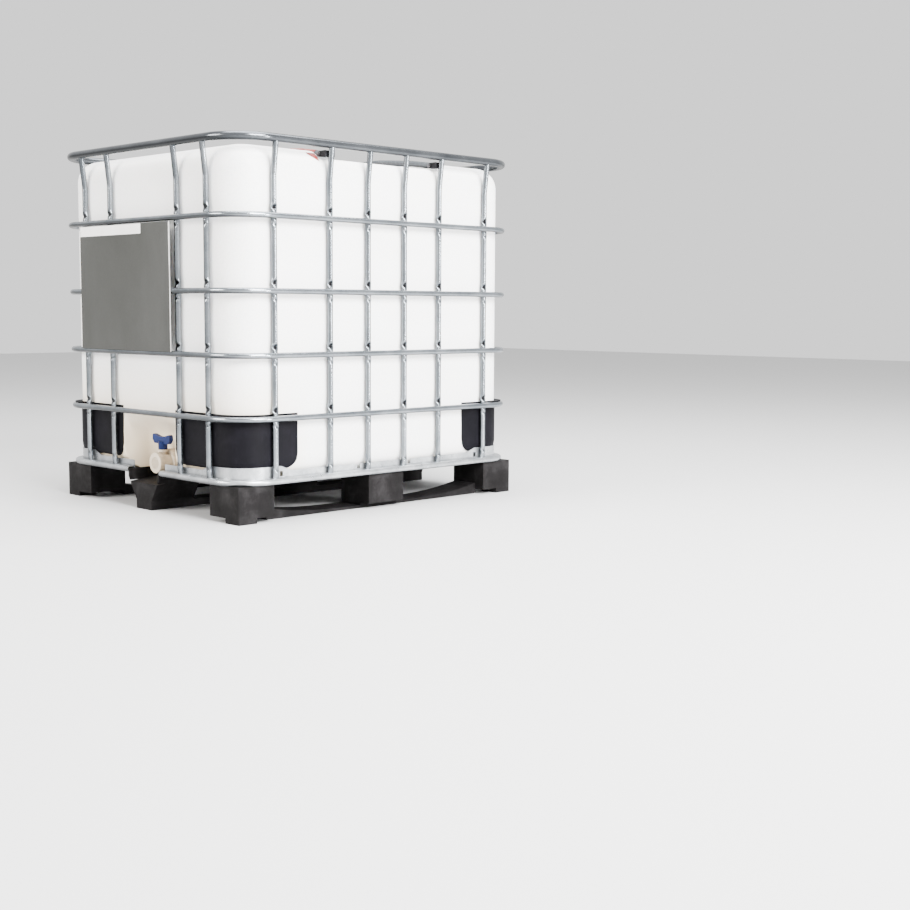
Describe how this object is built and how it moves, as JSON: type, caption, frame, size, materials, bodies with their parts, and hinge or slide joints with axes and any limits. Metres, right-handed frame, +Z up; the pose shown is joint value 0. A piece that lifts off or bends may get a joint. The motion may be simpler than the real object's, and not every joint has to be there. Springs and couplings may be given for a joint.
{
  "type": "intermediate bulk container",
  "caption": "Bulk liquid tote: blown plastic bottle in a welded steel tube cage on a composite pallet, with a filling cap on top and an outlet valve at the foot of the front.",
  "frame": {"origin": "on the floor under the middle of the footprint", "axes": "+Z up, -Y towards the front with the outlet valve, +X to the right when looking at the front"},
  "size_m": [1.024, 1.224, 1.15],
  "materials": {
    "bottle_plastic": "blown natural white polyethylene, satin",
    "cap_plastic": "moulded red polyethylene, satin",
    "seal_rubber": "black rubber, matt",
    "valve_plastic": "moulded natural polyethylene, satin",
    "disc_plastic": "moulded grey polypropylene, satin",
    "handle_plastic": "moulded blue polypropylene, satin",
    "bolt_steel": "zinc plated steel, satin",
    "cage_steel": "galvanised steel tube, satin",
    "pan_steel": "galvanised steel sheet, satin",
    "guard_plastic": "moulded charcoal polyethylene, matt",
    "bracket_steel": "black coated pressed steel, matt",
    "plate_steel": "weathered grey coated sheet, matt",
    "block_plastic": "moulded charcoal recycled polyethylene, scuffed matt"
  },
  "bodies": {
    "container": {"bottle": "bottle_plastic", "valve_body": "valve_plastic", "valve_seat": "seal_rubber", "union_nut": "valve_plastic", "outlet_gasket": "seal_rubber", "cage_rim": "cage_steel", "ring_top": "cage_steel", "ring_upper": "cage_steel", "ring_middle": "cage_steel", "ring_lower": "cage_steel", "upright_left_1": "cage_steel", "upright_left_2": "cage_steel", "upright_left_3": "cage_steel", "upright_left_4": "cage_steel", "upright_left_5": "cage_steel", "upright_left_6": "cage_steel", "upright_right_1": "cage_steel", "upright_right_2": "cage_steel", "upright_right_3": "cage_steel", "upright_right_4": "cage_steel", "upright_right_5": "cage_steel", "upright_right_6": "cage_steel", "upright_front_1": "cage_steel", "upright_front_2": "cage_steel", "upright_front_3": "cage_steel", "upright_front_4": "cage_steel", "upright_back_1": "cage_steel", "upright_back_2": "cage_steel", "upright_back_3": "cage_steel", "upright_back_4": "cage_steel", "floor_pan": "pan_steel", "perimeter_rail": "pan_steel", "corner_guard_1": "guard_plastic", "corner_guard_2": "guard_plastic", "corner_guard_3": "guard_plastic", "corner_guard_4": "guard_plastic", "corner_block_1": "block_plastic", "corner_block_2": "block_plastic", "corner_block_3": "block_plastic", "corner_block_4": "block_plastic", "middle_block_left": "block_plastic", "middle_block_right": "block_plastic", "centre_skid": "block_plastic", "side_runner_left": "block_plastic", "side_runner_right": "block_plastic", "tie_bar_front": "cage_steel", "tie_bar_back": "cage_steel", "tie_brackets": "bracket_steel", "tie_bolts": "bolt_steel", "label_plate": "plate_steel"},
    "fill_cap_seal_ring": {"fill_cap_gasket": "seal_rubber"},
    "filling_cap": {"fill_cap": "cap_plastic"},
    "vent_plug_seal_ring": {"vent_plug_gasket": "seal_rubber"},
    "vent_plug": {"vent_plug": "cap_plastic"},
    "outlet_valve_spindle": {"valve_disc": "disc_plastic", "valve_stem": "handle_plastic", "valve_handle": "handle_plastic", "handle_screw": "bolt_steel"},
    "outlet_cap_seal": {"dust_cap_seal": "seal_rubber"},
    "outlet_cap": {"dust_cap": "valve_plastic"}
  },
  "joints": [
    {"name": "fill_cap_lift", "type": "slide", "parent": "container", "child": "fill_cap_seal_ring", "axis": [0, 0, 1], "range_m": [0, 0.35]},
    {"name": "fill_cap_turn", "type": "hinge", "parent": "fill_cap_seal_ring", "child": "filling_cap", "pos_m": [0, 0, 1.135], "axis": [0, 0, 1], "continuous": true},
    {"name": "vent_plug_lift", "type": "slide", "parent": "filling_cap", "child": "vent_plug_seal_ring", "axis": [0, 0, 1], "range_m": [0, 0.12]},
    {"name": "vent_plug_turn", "type": "hinge", "parent": "vent_plug_seal_ring", "child": "vent_plug", "pos_m": [0, 0, 1.142], "axis": [0, 0, 1], "continuous": true},
    {"name": "outlet_valve_turn", "type": "hinge", "parent": "container", "child": "outlet_valve_spindle", "pos_m": [0, -0.526, 0.145], "axis": [0, 0, 1], "range_deg": [0, 90]},
    {"name": "outlet_cap_pull", "type": "slide", "parent": "container", "child": "outlet_cap_seal", "axis": [0, -1, 0], "range_m": [0, 0.2]},
    {"name": "outlet_cap_turn", "type": "hinge", "parent": "outlet_cap_seal", "child": "outlet_cap", "pos_m": [0, -0.545, 0.145], "axis": [0, -1, 0], "continuous": true}
  ]
}
